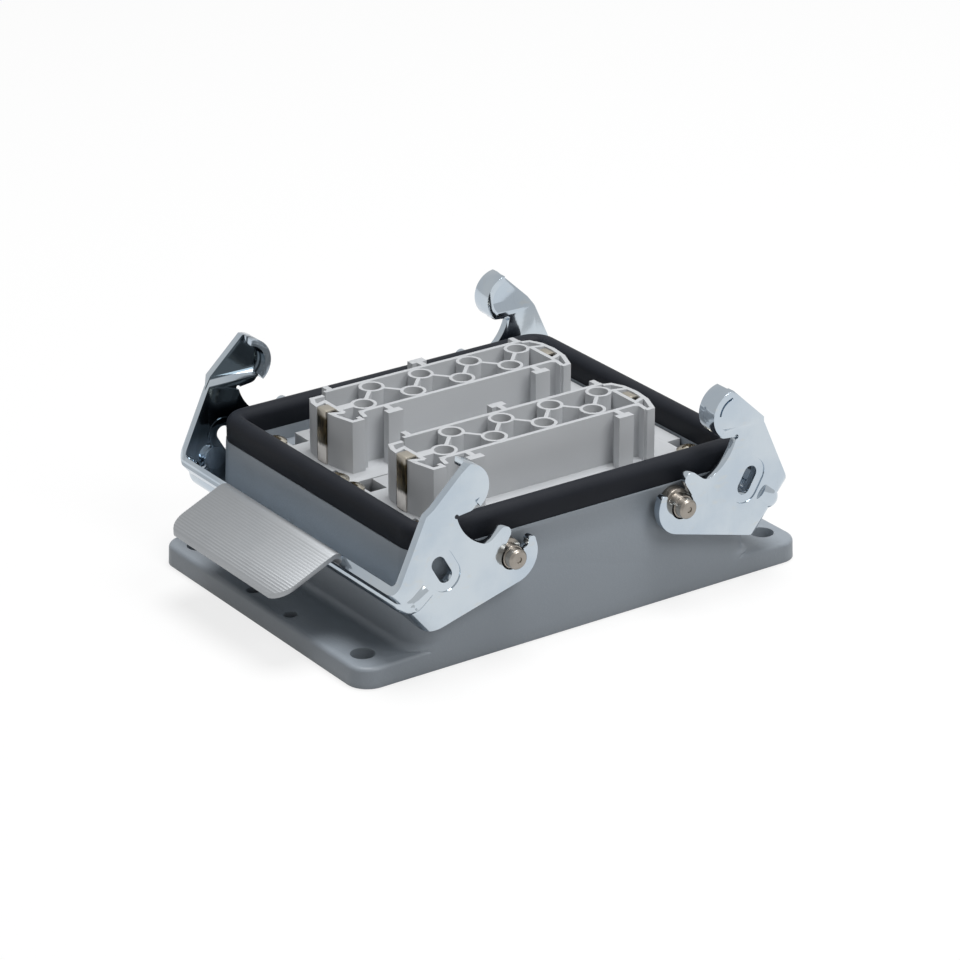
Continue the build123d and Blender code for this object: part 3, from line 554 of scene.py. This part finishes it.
def contact_sockets():
    """Turned contact sockets with a rounded mouth, a blind bore and crossed spring slits."""
    nodes = [f"{row}_contact_{number}" for row in ("front", "back") for number in range(1, 9)]
    boxes = [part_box(node) for node in nodes]
    places = [((low[0] + high[0]) / 2, (low[1] + high[1]) / 2, high[2]) for low, high in boxes]
    low, high = boxes[0]
    pattern = Pattern(
        "contact_socket",
        Outer=(high[0] - low[0]) / 2,
        Bore=1.3 * MM,
        Length=high[2] - low[2],
        Bore_Depth=14 * MM,
        Mouth=0.3 * MM,
        Slit=0.4 * MM,
        Slit_Depth=6 * MM,
    )
    size = pattern.input
    wall = pattern.node(
        "GeometryNodeCurvePrimitiveQuadrilateral",
        {"mode": "RECTANGLE"},
        {"Width": size["Outer"] - size["Bore"], "Height": size["Bore_Depth"]},
    )
    wall = pattern.node(
        "GeometryNodeFilletCurve", {"mode": "POLY"}, {"Curve": wall, "Count": 3, "Radius": size["Mouth"]}
    )
    ring = pattern.node(
        "GeometryNodeCurvePrimitiveCircle",
        {"mode": "RADIUS"},
        {"Resolution": 40, "Radius": (size["Outer"] + size["Bore"]) * 0.5},
    )
    tube = pattern.node("GeometryNodeCurveToMesh", {}, {"Curve": ring, "Profile Curve": wall})
    tube = pattern.raised(tube, size["Bore_Depth"] * -0.5)
    tube = pattern.cut(tube, pattern.cross(size["Outer"] * 3.0, size["Slit"], size["Slit_Depth"]))
    foot = pattern.rod(size["Outer"], size["Length"] * -1.0, size["Bore_Depth"] * -0.98)
    piece = pattern.node("GeometryNodeJoinGeometry", {}, {"Geometry": [tube, foot]})
    mesh = pattern.mesh_at(places, piece, SOCKET_METAL)
    smooth_by_angle(mesh, 35)
    new_piece("contact_sockets", mesh, SOCKET_METAL, "base", nodes)


def fixing_screws():
    """Domed pan head screws with a cross recess, each turned its own way."""
    nodes = ["front_fixing_screws", "back_fixing_screws"]
    head_radius = 2.9 * MM
    head_height = 1.9 * MM
    places = []
    for low, high in (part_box(node) for node in nodes):
        for x in (low[0] + head_radius, high[0] - head_radius):
            for y in (low[1] + head_radius, high[1] - head_radius):
                places.append((x, y, high[2]))
    low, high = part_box(nodes[0])
    pattern = Pattern(
        "fixing_screw",
        Head_Radius=head_radius,
        Head_Height=head_height,
        Dome_Radius=4.4 * MM,
        Recess_Length=3.5 * MM,
        Recess_Width=0.8 * MM,
        Recess_Depth=1.1 * MM,
        Shank_Radius=1.5 * MM,
        Length=high[2] - low[2],
        Seed=4,
    )
    size = pattern.input
    ball = pattern.node(
        "GeometryNodeMeshUVSphere", {}, {"Segments": 48, "Rings": 32, "Radius": size["Dome_Radius"]}
    )
    ball = pattern.raised(ball, size["Dome_Radius"] * -1.0)
    drum = pattern.rod(size["Head_Radius"], size["Head_Height"] * -1.0, size["Head_Height"], sides=48)
    head = pattern.cut(drum, [ball], "INTERSECT")
    head = pattern.cut(
        head, pattern.cross(size["Recess_Length"], size["Recess_Width"], size["Recess_Depth"])
    )
    shank = pattern.rod(size["Shank_Radius"], size["Length"] * -1.0, size["Head_Height"] * -0.95)
    piece = pattern.node("GeometryNodeJoinGeometry", {}, {"Geometry": [head, shank]})
    turn = pattern.node(
        "FunctionNodeRandomValue",
        {"data_type": "FLOAT"},
        {"Min_001": 0.0, "Max_001": math.pi / 2, "Seed": size["Seed"]},
        out=1,
    )
    mesh = pattern.mesh_at(places, piece, SCREW_METAL, turn)
    smooth_by_angle(mesh, 35)
    new_piece("fixing_screws", mesh, SCREW_METAL, "base", nodes)


contact_sockets()
fixing_screws()

finishes = {"gasket_rubber": RUBBER, "screw_steel": SCREW_METAL}
slots = {entry["node"]: entry["material_slot"] for entry in frame["record"]["subparts"]}
for node_name, node in frame["nodes"].items():
    if slots[node_name] in finishes:
        node.data.materials.clear()
        node.data.materials.append(finishes[slots[node_name]])
